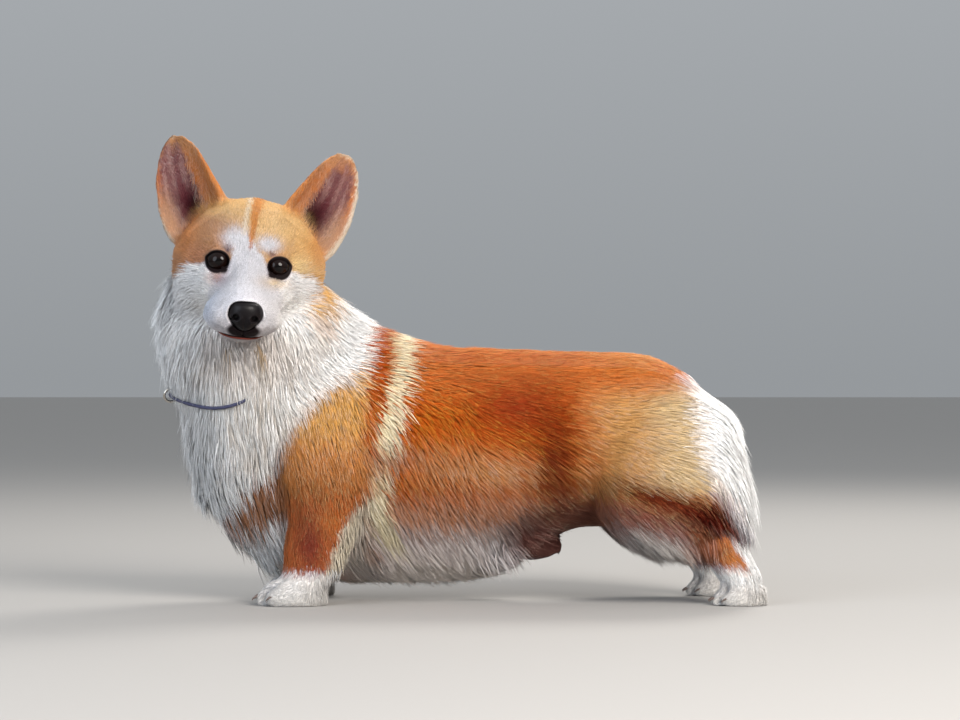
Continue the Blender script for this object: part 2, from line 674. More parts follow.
def coat_plan(p, normal, weights):
    """Length and lift of the coat and the way it lies, at points in the drawing."""
    x, y, z = p.T
    head = to_head(p)
    s, f, u = head.T
    lengths, lifts, lie = np.zeros(len(p)), np.zeros(len(p)), np.zeros((len(p), 3))

    def region(families, length, lift, direction):
        weight = amount(weights, *families)
        lengths[:] += weight * length
        lifts[:] += weight * lift
        lie[:] += weight[:, None] * unit(direction)

    def flow(a, b, c):
        return np.stack(np.broadcast_arrays(a, b, c, x)[:3], 1).astype(float)

    # Head: hair grows away from the nose and turns round the eyes, longer over the cheeks and behind
    cheek = smooth(20, 55, np.abs(s)) * smooth(10, -30, u) * smooth(30, -20, f)
    away = unit(head - np.array([0, 76, -40]))
    trim = np.ones(len(p))
    for sign in (-1, 1):
        local, ratio = lid_place(head, sign)
        near = smooth(2.3, 1.1, ratio) * (np.sign(s) == sign) * (f > -30)
        outwards = unit(local * np.array([1, 0, 1])) @ eye_axes(sign)
        away = away + outwards * (1.6 * near)[:, None]
        trim = np.minimum(trim, 1 - 0.62 * smooth(1.9, 1.15, ratio) * (f > -30))
    lips = ridge(u - mouth_height(f), 2.5, 3.5) * smooth(28, 36, f)
    trim = np.minimum(trim, 1 - 0.65 * lips)
    down = unit(away) @ HEAD_AXES + cheek[:, None] * np.array([0, 0, -0.55])
    face_length = 3.2 + 3.5 * smooth(45, -10, f) + 10 * smooth(-40, -105, f) + 14 * cheek
    face_length += 8 * smooth(-60, -72, u) * smooth(60, 20, f)
    region(HEAD, face_length * trim, 15 + 8 * cheek, down)

    # Ears: towards the tip, a little apart
    share, place = ear_places(head)
    region(("ear",), 6.0 - 3.0 * smooth(0.88, 1.0, share), 11.0,
           flow(np.sign(s) * (0.34 + 0.12 * place), -0.1, 0.93) @ HEAD_AXES)

    # Neck and bib
    turn = smooth(-290, -95, x)
    nape = smooth(300, 360, z)
    region(("neck",), 28 + 6 * smooth(260, 190, z) - 7 * smooth(-125, -85, x),
           21 + 16 * smooth(-255, -295, x), flow(-0.22 + 1.05 * turn, -0.05, -1 + 0.45 * nape))
    front = smooth(-170, -230, x)
    high = smooth(180, 250, z)
    chest_side = flow(0.6 + 0.5 * high, 0.0, -1 + 0.62 * high)
    region(("chest",), 24 + 9 * front + 10 * smooth(130, 70, z), 17 + 9 * front,
           chest_side * (1 - front[:, None]) + np.array([0.12, 0.0, -1.0]) * front[:, None])

    # Barrel: level along the back, steeper down the flank, hanging in the fringe, short on the sheath
    slope = np.radians(along(z, ((40, 84), (70, 78), (110, 60), (150, 38), (190, 22), (230, 12), (262, 4))))
    flank = flow(np.cos(slope), 0.0, -np.sin(slope))
    under = smooth(-0.5, -0.85, normal[:, 2])
    sheath = smooth(0, 0.5, spot(x, z, (88, 50), (38, 30))) * smooth(60, 30, np.abs(y))
    flank = flank * (1 - under)[:, None] + flow(under, 0.0, 0.0) + flow(1.2 * sheath, 0.0, 0.0)
    low = smooth(120, 60, z) * (1 - 0.75 * under)
    region(("barrel",), (23 + 9 * smooth(230, 160, z) + 12 * low) * (1 - 0.7 * sheath),
           (11 + 8 * low) * (1 - 0.5 * sheath), flank)

    # Rump, tail and thighs, with the pants behind
    behind = smooth(225, 285, x)
    region(("rump",), 25 + 9 * behind, 12 + 5 * behind,
           flow(1 - 0.3 * behind, 0.0, -0.16 - 0.8 * behind - 0.6 * smooth(120, 70, z)))
    region(("tail",), 24.0, 16.0, flow(0.8, 0.0, -0.55))
    pants = smooth(235, 290, x)
    slope = np.radians(along(z, ((50, 66), (85, 46), (120, 28), (160, 18), (200, 12), (240, 8))))
    region(("thigh",), 24 + 12 * pants + 9 * smooth(100, 70, z), 13 + 8 * pants,
           flow(np.cos(slope) - 0.35 * pants, 0.0, -np.sin(slope) - 0.8 * pants))

    # Legs, feathered behind, and feet
    rear = along(z, ((20, -142), (50, -130), (84, -118), (110, -104), (200, -90)))
    feather = smooth(-8, 10, x - rear)
    region(("foreleg_upper",), 20 + 6 * feather - 6 * smooth(150, 100, z), 13 + 6 * feather,
           flow(0.28 + 0.35 * feather, 0.0, -1.0))
    region(("foreleg_lower",), 9 + 15 * feather, 12 + 12 * feather, flow(0.1 + 0.5 * feather, 0.0, -1.0))
    heel = smooth(0.0, 0.6, normal[:, 0])
    region(("hock",), 10 + 7 * heel * smooth(60, 30, z), 13.0, flow(0.5, 0.0, -0.85))
    region(PAWS, 4.8 + 8 * heel, 12 + 8 * heel, flow(-0.8 * (1 - heel), 0.0, -0.55 - 0.5 * heel))
    # Where the way it lies would point into or out of the body, the coat is short
    steep = np.abs((unit(lie) * normal).sum(1))
    lengths *= 1 - 0.55 * smooth(0.7, 0.97, steep)
    total = weights.sum(1)
    return lengths / total, lifts / total, flattened(lie, normal)


def coat_depth(length, lift):
    """Height of the coat's tips over the skin."""
    return length * np.sin(np.radians(lift)) * 0.85


# Eye opening in its own plane, turned outwards from the nose
EYE_TURN = math.radians(14)
EYE_TILT = math.radians(4)
LID_HALF = (12.3, 10.6)
LID_LIFT = 0.8


def eye_axes(sign):
    """Side (outwards), forward and up axes of an eye, in the head frame."""
    forward = unit(np.array([sign * math.sin(EYE_TURN), math.cos(EYE_TURN), math.sin(EYE_TILT)]))
    side = np.array([sign * math.cos(EYE_TURN), -math.sin(EYE_TURN), 0.0])
    return np.array([side, forward, np.cross(side, forward) * sign])


def eye_centre(sign):
    return EYE_CENTRE * np.array([sign, 1, 1])


def eye_local(points, sign):
    return (points - eye_centre(sign)) @ eye_axes(sign).T


def lid_reach(turn):
    """Distance from the eye's middle to the lid's edge; turn 0 is the outer corner, a quarter turn is up."""
    reach = 1 / np.sqrt((np.cos(turn) / LID_HALF[0]) ** 2 + (np.sin(turn) / LID_HALF[1]) ** 2)
    # Outer and inner corner: where each is, how wide and how far it runs out
    for degrees, width, rise in ((8, 0.24, 1.3), (214, 0.25, 2.6)):
        away = np.abs((turn - math.radians(degrees) + math.pi) % (2 * math.pi) - math.pi)
        reach = reach + rise * ridge(away, 0, width)
    return reach


def lid_place(head_points, sign):
    """Places in an eye's own axes, and how far out each is: 1 on the lid's edge, less in the opening."""
    local = eye_local(head_points, sign)
    side, _, up = local.T
    return local, np.hypot(side, up) / lid_reach(np.arctan2(up, side))


def lid_rim(turn):
    """Places of the lid's edge on the eyeball, in the eye's own axes."""
    reach = lid_reach(turn)
    ahead = np.sqrt(np.maximum((EYE_RADIUS + LID_LIFT) ** 2 - reach ** 2, 9.0))
    return np.stack([np.cos(turn) * reach, ahead, np.sin(turn) * reach], 1)


def shape_lids(points, sign):
    """Draws the skin over the eyeball round the opening, and behind it within."""
    local, ratio = lid_place(points, sign)
    side, forward, up = local.T
    across = np.hypot(side, up)
    turn = np.arctan2(up, side)
    distance = np.linalg.norm(local, axis=1)
    lid = EYE_RADIUS + LID_LIFT - 5.0 * smooth(1.0, 0.9, ratio)
    # Round the lids the skin settles on the ball, with a fold over the upper lid and a soft pouch below
    settle = smooth(25, 14, across)
    wanted = np.maximum(distance, EYE_RADIUS + LID_LIFT)
    wanted = wanted + (EYE_RADIUS + 2.2 - wanted) * smooth(1.7, 1.1, ratio) * 0.8
    fold = -ridge(ratio, 1.45, 0.1) * smooth(0.0, 0.6, np.sin(turn))
    pouch = 0.5 * ridge(ratio, 1.4, 0.18) * smooth(0.0, -0.7, np.sin(turn))
    reach = np.where(ratio < 1.0, lid, distance + (wanted - distance) * settle + fold + pouch)
    moved = local * (reach / np.maximum(distance, 1e-6))[:, None]
    near = (forward > -9) & (across < 28) & (distance < 36)
    out = points.copy()
    out[near] = moved[near] @ eye_axes(sign) + eye_centre(sign)
    return out


# Forward and up, in the head frame
MOUTH_CORNER = (33.0, -56.0)
MOUTH_FRONT = (92.0, -63.0)
MOUTH_DIP = 11.0


def mouth_height(forward):
    """Height of the mouth's line at a distance forward, in the head frame."""
    t = np.clip((forward - MOUTH_CORNER[0]) / (MOUTH_FRONT[0] - MOUTH_CORNER[0]), -0.2, 1.2)
    middle = (MOUTH_CORNER[1] + MOUTH_FRONT[1]) / 2 - MOUTH_DIP
    return (1 - t) ** 2 * MOUTH_CORNER[1] + 2 * t * (1 - t) * middle + t ** 2 * MOUTH_FRONT[1]


def tube(line, radii, sides, closed):
    """Vertices and triangles of a tube along a line."""
    count = len(line)
    if closed:
        ahead = unit(np.roll(line, -1, 0) - np.roll(line, 1, 0))
    else:
        ahead = unit(np.gradient(line, axis=0))
    up = np.zeros_like(line)
    carried = unit(np.cross(ahead[0], np.array([0.31, 0.52, 0.79])))
    for i in range(count):
        carried = unit(carried - ahead[i] * (carried @ ahead[i]))
        up[i] = carried
    aside = np.cross(ahead, up)
    turn = np.arange(sides) / sides * 2 * math.pi
    ring = up[:, None] * np.cos(turn)[None, :, None] + aside[:, None] * np.sin(turn)[None, :, None]
    points = line[:, None] + ring * np.broadcast_to(radii, (count,))[:, None, None]
    corners = [(k, (k + 1) % sides) for k in range(sides)]
    faces = []
    for i in range(count if closed else count - 1):
        a, b = i * sides, (i + 1) % count * sides
        for k, j in corners:
            faces += [(a + k, b + j, b + k), (a + k, a + j, b + j)]
    points = points.reshape(-1, 3)
    if not closed:
        points = np.concatenate([points, line[[0, -1]]])
        end, last = count * sides, (count - 1) * sides
        for k, j in corners:
            faces += [(end, k, j), (end + 1, last + j, last + k)]
    return points, np.array(faces)


def mouth_line(body):
    """Places of the closed lips, found on the skin from inside the muzzle, in the head frame."""
    co, _, _, triangles = read(body.data)
    tree = BVHTree.FromPolygons([Vector(v) for v in to_head(drawn(co))], [tuple(t) for t in triangles])
    line = []
    for degree in np.linspace(-111, 111, 105):
        way = Vector((math.sin(math.radians(degree)), math.cos(math.radians(degree)), 0))
        forward = 45 + 40 * way.y
        hit = None
        for _ in range(3):
            start = Vector((0, 45, float(mouth_height(forward))))
            hit = tree.ray_cast(start, way)[0]
            forward = hit.y
        line.append(tuple(hit))
    line = np.array(line)
    for _ in range(3):
        line[1:-1] += (line[:-2] + line[2:] - 2 * line[1:-1]) * 0.25
    return line


def add_rims(body):
    """Dark rims of the lids and lips, joined into the skin."""
    turns = np.linspace(0, 2 * math.pi, 72, endpoint=False)
    rims = [(lid_rim(turns) @ eye_axes(sign) + eye_centre(sign), 0.85, True, "#060304") for sign in (-1, 1)]
    lips = mouth_line(body)
    share = np.linspace(-1, 1, len(lips))
    thick = 1.5 - 0.4 * np.cos(share * math.pi)
    rims += [(lips + np.array([0, 0, 0.8]), thick, False, "#120A0B"),
             (lips - np.array([0, 0, 0.7]), thick * (0.9 - 0.8 * share ** 4), False, "#683026")]
    for line, radii, closed, code in rims:
        points, faces = tube(line, radii, 8, closed)
        part = new_piece("rim", from_head(points), faces)
        count = len(points)
        colour_vertices(part.data, np.tile(linear(code), (count, 1)))
        store(part.data, "bare", np.ones(count))
        store(part.data, "lie", np.tile([1.0, 0.0, 0.0], (count, 1)))
        for name in ("hair_length", "lift", *("family_" + n for n in FAMILIES)):
            store(part.data, name, np.full(count, 1.0 if name == "family_head" else 0.0))
        joined(part, body)


def nose_breadth(height):
    """Breadth of the nose leather at a share of its height from -1 to 1: broad above, narrow below."""
    return 0.74 + 0.26 * smooth(-1.0, 0.1, height)


def nose_ratio(s, u):
    """Place against the outline of the nose leather: 1 on it, less within."""
    height = (u - NOSE_CENTRE[2]) / NOSE_RADII[2]
    across = np.abs(s) / (NOSE_RADII[0] * nose_breadth(height))
    power = np.where(height > 0, 2.8, 2.0)
    return (across ** power + np.abs(height) ** power) ** (1 / power)


def shape_muzzle(points, normal):
    """Presses in the mouth's line and the groove under the nose, pads the lips, clears the nose leather."""
    points = points.copy()
    ratio = nose_ratio(points[:, 0], points[:, 2])
    behind = smooth(1.12, 0.92, ratio) * smooth(60, 72, points[:, 1])
    points[:, 1] += (NOSE_CENTRE[1] - 3.0 - points[:, 1]) * behind
    s, f, u = points.T
    line = ridge(u - mouth_height(f), 0, 2.2) * smooth(30, 38, f)
    groove = ridge(s, 0, 1.5) * smooth(-52, -56, u) * smooth(-67, -63, u) * smooth(60, 70, f)
    pads = spot(np.abs(s), u, (11, -55), (8, 7)) * smooth(45, 60, f) * smooth(100, 85, f)
    flews = spot(np.abs(s), u, (32, -50), (13, 13)) * smooth(30, 45, f)
    return points + normal * (-1.8 * line - 1.6 * groove + 1.8 * pads + 2.4 * flews)[:, None]


def shape_toes(points, normal):
    """Grooves between the toes, and a knuckle behind each claw."""
    gap, knuckle = toe_forms(points)
    return points + normal * (1.4 * knuckle - 6.0 * gap)[:, None]


def select_faces(mesh, test):
    """Selects faces whose middles satisfy a test on head-frame places, in object mode."""
    for items in (mesh.vertices, mesh.edges):
        items.foreach_set("select", np.zeros(len(items), bool))
    mesh.polygons.foreach_set("select", test(to_head(drawn(pull(mesh.polygons, "center", 3)))))


def near_eyes(h):
    away = np.stack([np.abs(h[:, 0]) - EYE_CENTRE[0], h[:, 1] - EYE_CENTRE[1], h[:, 2]], 1)
    return (np.linalg.norm(away, axis=1) < 25) & (h[:, 1] > -24)


def near_mouth(h):
    return (h[:, 1] > 24) & (h[:, 2] > -80) & (h[:, 2] < -44)


def on_face(h):
    return (h[:, 1] > -30) & (np.abs(h[:, 0]) < 62) & (h[:, 2] < 50) & (h[:, 2] > -90)


def round_off(p, edges, weights):
    """Evens out the ledges between the nodes, least on face and feet, and rounds the ears' rims."""
    fine = amount(weights, *HEAD, *PAWS)
    ear = amount(weights, "ear")
    body_share = np.clip(0.5 * (1 - 0.45 * fine - 0.3 * ear), 0.1, 0.5)
    ear_share = 0.5 * smooth(0.3, 0.9, ear)
    # Each step inwards is followed by one outwards, so that nothing shrinks
    for rounds, share, swell in ((24, body_share, 1.04), (45, ear_share, 1.03)):
        for _ in range(rounds):
            p = spread(p, edges, 1, share)
            p = spread(p, edges, 1, -share * swell)
    p = spread(p, edges, 14, ear_share)
    # Paws flow into the legs without a ledge
    ankle = amount(weights, *PAWS) * amount(weights, "hock", "foreleg_lower")
    p = spread(p, edges, 40, np.clip(8 * ankle, 0, 0.5))
    # The ears are drawn out again to their full height
    reach = np.clip(ear_places(to_head(p))[0], 0, 1)
    return p + (ear_share * 2 * reach ** 2 * 3.5)[:, None] * HEAD_AXES[2]


def sink(p, edges, normal, depth):
    """Draws the surface in by the depth of the coat, but never down through the soles."""
    depth = spread(depth, edges, 12)
    sole = smooth(0.5, 9, p[:, 2])
    inwards = unit(spread(normal, edges, 10))
    inwards[:, 2] *= sole
    p = p - inwards * np.minimum(depth, 22)[:, None] * (0.35 + 0.65 * sole)[:, None]
    p = spread(p, edges, 10, np.clip(depth / 12, 0, 1) * 0.5)
    p[:, 2] = np.maximum(p[:, 2], 0)
    return p


def build_skin():
    """One skin inside all nodes of flesh, with lids, lips and toes shaped in it."""
    body = flesh_copy()
    remesh = body.modifiers.new("Remesh", "REMESH")
    remesh.mode = "VOXEL"
    remesh.voxel_size = VOXEL * MM
    bpy.ops.object.modifier_apply(modifier=remesh.name)
    mesh = body.data
    for test in (on_face, near_eyes, near_mouth):
        select_faces(mesh, test)
        bpy.ops.object.mode_set(mode="EDIT")
        bpy.ops.mesh.select_mode(type="FACE")
        bpy.ops.mesh.subdivide(number_cuts=1)
        bpy.ops.object.mode_set(mode="OBJECT")

    co, _, edges, _ = read(mesh)
    weights = family_weights(co, edges, 10)
    p = round_off(drawn(co), edges, weights)
    normal = move(mesh, p)
    weights = spread(weights, edges, 12)
    length, lift, lie = coat_plan(p, normal, weights)
    p = sink(p, edges, normal, coat_depth(length, lift))
    normal = move(mesh, p)
    h = shape_muzzle(to_head(p), normal @ HEAD_AXES.T)
    for sign in (-1, 1):
        h = shape_lids(h, sign)
    in_head = amount(weights, *HEAD) > 0.5
    p = shape_toes(np.where(in_head[:, None], from_head(h), p), normal)
    p[:, 2] = np.maximum(p[:, 2], 0)
    normal = move(mesh, p)

    bare = bare_skin(h, weights)
    colour = coat_colour(p, normal, weights) * SKIN_TONE
    colour_vertices(mesh, colour * (1 - bare[:, None]) + linear(BARE) * bare[:, None])
    store(mesh, "bare", bare)
    store(mesh, "lie", flattened(spread(lie, edges, 14), normal))
    store(mesh, "hair_length", length)
    store(mesh, "lift", lift)
    for name, weight in zip(FAMILIES, weights.T):
        store(mesh, "family_" + name, weight)
    shade_smooth(mesh)
    body.name = "skin"
    mesh.name = "skin"
    add_rims(body)
    return body


def bare_skin(h, weights):
    """Dark bare skin of the lids, lips and round the nose leather."""
    s, f, u = h.T
    bare = np.zeros(len(h))
    for sign in (-1, 1):
        local, ratio = lid_place(h, sign)
        bare = np.maximum(bare, smooth(1.2, 1.12, ratio) * (local[:, 1] > -6))
    lips = ridge(u - mouth_height(f), 0, 2.7 + 1.4 * smooth(60, 40, f)) * smooth(30, 36, f)
    round_nose = smooth(1.12, 1.0, nose_ratio(s, u)) * smooth(60, 70, f)
    under = smooth(1.15, 0.75, np.hypot(s / 19, (u + 57) / 9.5)) * smooth(60, 74, f)
    for part in (lips, round_nose, under):
        bare = np.maximum(bare, part)
    return bare * np.clip(amount(weights, *HEAD) * 2, 0, 1)


# Coat

# Shade of a strand's root, of its ring's sides and top and of its tip
TONES = np.array([0.96, 1.0, 1.0, 1.03, 1.1])
COAT_MATERIAL = "Coat hair keratin"


def place_tree(places):
    tree = KDTree(len(places))
    for i, place in enumerate(places):
        tree.insert(place, i)
    tree.balance()
    return tree


def nearest(tree, points):
    """Index of the tree's place nearest to each point."""
    return np.fromiter((tree.find(p)[1] for p in points), np.int64, len(points))


class Surface:
    """The skin's arrays, in drawing millimetres, with what the coat reads from it."""

    def __init__(self, mesh):
        co, self.normal, _, self.triangles = read(mesh)
        self.points = drawn(co)
        self.lie = stored(mesh, "lie", 3)
        self.length, self.lift, self.bare = (stored(mesh, name) for name in ("hair_length", "lift", "bare"))
        self.weights = np.stack([stored(mesh, "family_" + name) for name in FAMILIES], 1)
        self.tree = place_tree(self.points)

    def middles(self, values):
        """Values in the middles of the triangles."""
        return values[self.triangles].mean(1)


def scatter(surface, chosen, count, thickness, rng):
    """Root places on the chosen triangles, evenly by area and by how thick the coat is there."""
    t = surface.triangles[chosen]
    a, b, c = (surface.points[t[:, k]] for k in range(3))
    area = np.linalg.norm(np.cross(b - a, c - a), axis=1) * thickness
    bounds = np.cumsum(area)
    pick = (np.arange(count) + rng.random(count)) / count * bounds[-1]
    face = np.minimum(np.searchsorted(bounds, pick), len(t) - 1)
    r1, r2 = np.sqrt(rng.random(count)), rng.random(count)
    mix = np.stack([1 - r1, r1 * (1 - r2), r1 * r2], 1)
    return t[face], mix


def blended(values, corners, mix):
    """Values at places inside triangles, from their corners."""
    picked = values[corners]
    return (picked * mix.reshape(mix.shape + (1,) * (picked.ndim - 2))).sum(1)


# A strand is a closed spindle: a root, one ring of three (left, right, top) and a tip. Shares of its length
# where ring and tip are, with each one's share of the rise
STRAND = ((0.42, 0.62), (1.0, 1.0))
STRAND_FACES = np.array([[0, 1, 2], [0, 2, 3], [0, 3, 1], [1, 4, 2], [2, 4, 3], [3, 4, 1]])
# Breadth of a strand's patch on the unwrap, and the strand's five points in it
PATCH = 0.003
PATCH_PLACES = np.array([[0.0, -0.5], [-0.5, -0.08], [0.5, -0.08], [0.0, -0.08], [0.0, 0.5]])
# Pale tan that the hair in the ears is tinted with
EAR_TINT = "#E2C4A8"


def freedom(root, normal, weights, style):
    """How far hair leaves the body instead of lying on it: in fringes, pants, feathering and ruff."""
    x, y, z = root.T
    fringe = amount(weights, "barrel", "chest", "thigh") * smooth(112, 62, z) * smooth(0.5, 0.1, normal[:, 2])
    fringe *= 1 - spot(x, z, (86, 50), (34, 30)) * smooth(60, 20, np.abs(y))
    fringe *= smooth(-0.85, -0.45, normal[:, 2] + 0.3 * amount(weights, "thigh"))
    behind = amount(weights, "thigh", "rump")
    pants = behind * smooth(240, 285, x) * smooth(205, 165, z)
    hanging = behind * smooth(225, 265, x) * smooth(150, 115, z)
    feather = amount(weights, "foreleg_lower", "foreleg_upper", "hock") * smooth(0.2, 0.8, normal[:, 0])
    ruff = amount(weights, "neck", "chest") * smooth(-240, -290, x)
    total = style["stand"] + 0.7 * fringe + 0.35 * pants + 0.35 * hanging + 0.45 * feather + 0.4 * ruff
    return np.clip(total, 0, 0.88)


def grow(surface, name, corners, mix, rng, style):
    """Solid tapering tufts from the roots, lying along the skin, as one mesh."""
    count = len(corners)
    root, normal, weights, length, lift, lie = (blended(values, corners, mix) for values in (
        surface.points, surface.normal, surface.weights, surface.length, surface.lift, surface.lie))
    normal = unit(normal)
    lie = flattened(lie, normal)
    side = np.cross(normal, lie)

    # Each tuft turns a little, in swirls shared with its neighbours and by itself
    turn = (noise(root, 34, 51) * 0.20 + noise(root, 12, 52) * 0.16) * style["swirl"]
    turn += rng.normal(0, style["stray"], count)
    # Some are broad soft underfur, kept low; a few stand loose
    under = rng.random(count) < style["under"]
    loose = rng.random(count) < style["loose"]
    turn += loose * rng.normal(0, 0.35, count) + style["turned"] * np.sign(to_head(root)[:, 0])
    lie = unit(lie * np.cos(turn)[:, None] + side * np.sin(turn)[:, None])
    length = length * (0.72 + 0.5 * rng.random(count)) * style["length"] * (1 - 0.2 * under)
    rise = np.sin(np.radians(lift)) * length * (0.72 + 0.32 * rng.random(count)) * style["lift"]
    rise *= 1 - 0.35 * under + 0.3 * loose
    free = freedom(root, normal, weights, style)
    held = (1 - free)[:, None]

    # Ring and tip follow the skin and its lie, or hang where the hair is free
    foot, up, ahead, reached = root, normal, lie, 0.0
    places, ups = [], []
    for share, height in STRAND:
        step = foot + ahead * (length * (share - reached))[:, None]
        near = nearest(surface.tree, step)
        skin_up = surface.normal[near]
        down = ((step - surface.points[near]) * skin_up).sum(1)
        step = step - skin_up * (down * (1 - free))[:, None]
        step[:, 2] -= free * length * (share - reached) * share * 0.25
        up = unit(up * free[:, None] + skin_up * held)
        ahead = flattened(ahead + surface.lie[near] * 0.5 * held, up)
        foot, reached = step, share
        places.append(step + up * (rise * height)[:, None])
        ups.append(up)

    # Tufts draw together towards the tip of the leader of their clump
    leaders = rng.choice(count, max(count // style["clump"], 1), replace=False)
    mine = leaders[nearest(place_tree(root[leaders]), root)]
    apart = np.linalg.norm(root - root[mine], axis=1)
    draw = style["draw"] * smooth(length * 0.9, length * 0.2, apart)
    ring, tip = (place + (place[mine] - place) * (draw * share ** 1.5)[:, None]
                 for place, (share, _) in zip(places, STRAND))

    width = style["width"] * (0.65 + 0.7 * rng.random(count)) * (1 + 1.5 * under)
    base = root - normal * 0.6
    across = unit(np.cross(tip - base, ups[0])) * (width * 0.5)[:, None]
    top = ring + ups[0] * (np.minimum(width, 1.3) * 0.26)[:, None]
    points = np.stack([base, ring - across, ring + across, top, tip], 1)
    points[:, :, 2] = np.maximum(points[:, :, 2], 0.4)

    # Colour is that of the place the strand covers, loosely, so strands reach over the markings' borders
    cover = 0.72 + 0.15 * rng.normal(0, 1, (count, 1))
    seen = root + (tip - root) * cover + rng.normal(0, 1, (count, 3)) * style["mix"]
    colour = coat_colour(seen, normal, weights)
    colour += (linear(EAR_TINT) - colour) * style["tint"]
    streak = noise(root - lie * (root * lie).sum(1, keepdims=True) * 0.8, 4.5, 61)
    value = 1 + 0.14 * streak + rng.normal(0, style["speckle"], count)
    colour = colour * np.clip(value, 0.5, 1.35)[:, None]
    shades = np.clip(colour[:, None, :] * TONES[None, :, None], 0, 0.95)

    size = len(TONES)
    faces = (STRAND_FACES[None] + np.arange(count)[:, None, None] * size).reshape(-1, 3)
    piece = new_piece(name, points.reshape(-1, 3), faces)
    mesh = piece.data
    colour_vertices(mesh, shades.reshape(-1, 3))
    lay = style["unwrap"](root)
    lay = (lay - lay.min(0)) / np.maximum(np.ptp(lay, axis=0), 1e-6) * (1 - 2 * PATCH) + PATCH
    spots = (lay[:, None, :] + PATCH_PLACES[None] * PATCH).reshape(-1, 2)
    mesh.uv_layers.new(name="OFBake").data.foreach_set("uv", flat(spots[faces.ravel()]))

    # Light falls on the coat as on a soft surface: each strand's normals lean towards the skin's
    own = pull(mesh.vertex_normals, "vector", 3)
    soft = np.repeat(unit(normal + ups[0]), size, axis=0)
    even = style["even"]
    mesh.normals_split_custom_set_from_vertices(unit(own * (1 - even) + soft * even))
    mesh.materials.append(bpy.data.materials.get(COAT_MATERIAL) or coat_material())
    return piece


# Unwraps of the skin: length along a part and turn round it


def unwrap_trunk(p):
    """Along the body and round it, over the back."""
    return np.stack([p[:, 0], np.arctan2(p[:, 1], p[:, 2] - 165)], 1)


def unwrap_neck(p):
    """Round the neck, and height."""
    return np.stack([np.arctan2(p[:, 0] + 190, -p[:, 1] + 20), p[:, 2]], 1)


def unwrap_head(p):
    """Round the skull and up it, from its middle."""
    s, f, u = (to_head(p) + np.array([0, 60, 30])).T
    return np.stack([np.arctan2(s, f), np.arctan2(u, np.hypot(s, f))], 1)


def unwrap_ears(p):
    """Front and back of each ear side by side: across and up."""
    h = to_head(p)
    share, place = ear_places(h)
    column = (h[:, 0] > 0) * 2 + (h[:, 1] + 60 > -8)
    return np.stack([column * 2.2 + np.clip(place, -1, 1), np.clip(share, -0.1, 1.1)], 1)


def unwrap_legs(p):
    """Each leg in its own strip: turn round it and height."""
    left = p[:, 1] < 0
    fore = p[:, 0] < 0
    x = np.where(fore, -152, 285 - (p[:, 2] - 45) * 0.6)
    turn = np.arctan2(np.abs(p[:, 1]) - 68, p[:, 0] - x)
    return np.stack([turn / math.pi + (fore * 2 + left) * 2.1, p[:, 2]], 1)


# What a style says: factors on length and lift; width in mm; how far tufts turn in swirls and by themselves;
# freedom everywhere; tufts to a clump and how far they draw together; speckle of tone; reach over borders
# in mm; how even the light falls; shares of underfur and loose hair; turn outwards on the head; ear tint
PLAIN = {"length": 1.0, "lift": 1.0, "width": 1.1, "swirl": 1.0, "stray": 0.10, "stand": 0.05, "clump": 12,
         "draw": 0.35, "speckle": 0.07, "mix": 2.0, "even": 0.88, "under": 0.35, "loose": 0.04,
         "turned": 0.0, "tint": 0.0}


def style_of(unwrap, **changes):
    return {**PLAIN, "unwrap": unwrap, **changes}


RUFF = {"swirl": 1.7, "stray": 0.18, "stand": 0.2, "clump": 16, "loose": 0.05, "even": 0.95}
LEFT, RIGHT, BOTH = -1, 1, 0


def face_part(h, normal):
    return h[:, 1] > -34


def crown_part(h, normal):
    return h[:, 1] <= -34


def ear_hollow(h, normal):
    """Inner side of the ear, near the edge that is towards the crown."""
    share, place = ear_places(h)
    near = (place > -0.9) & (place < -0.2) & (share > 0.0) & (share < 0.5 - 0.3 * place)
    return near & (normal[:, 1] > 0.2)


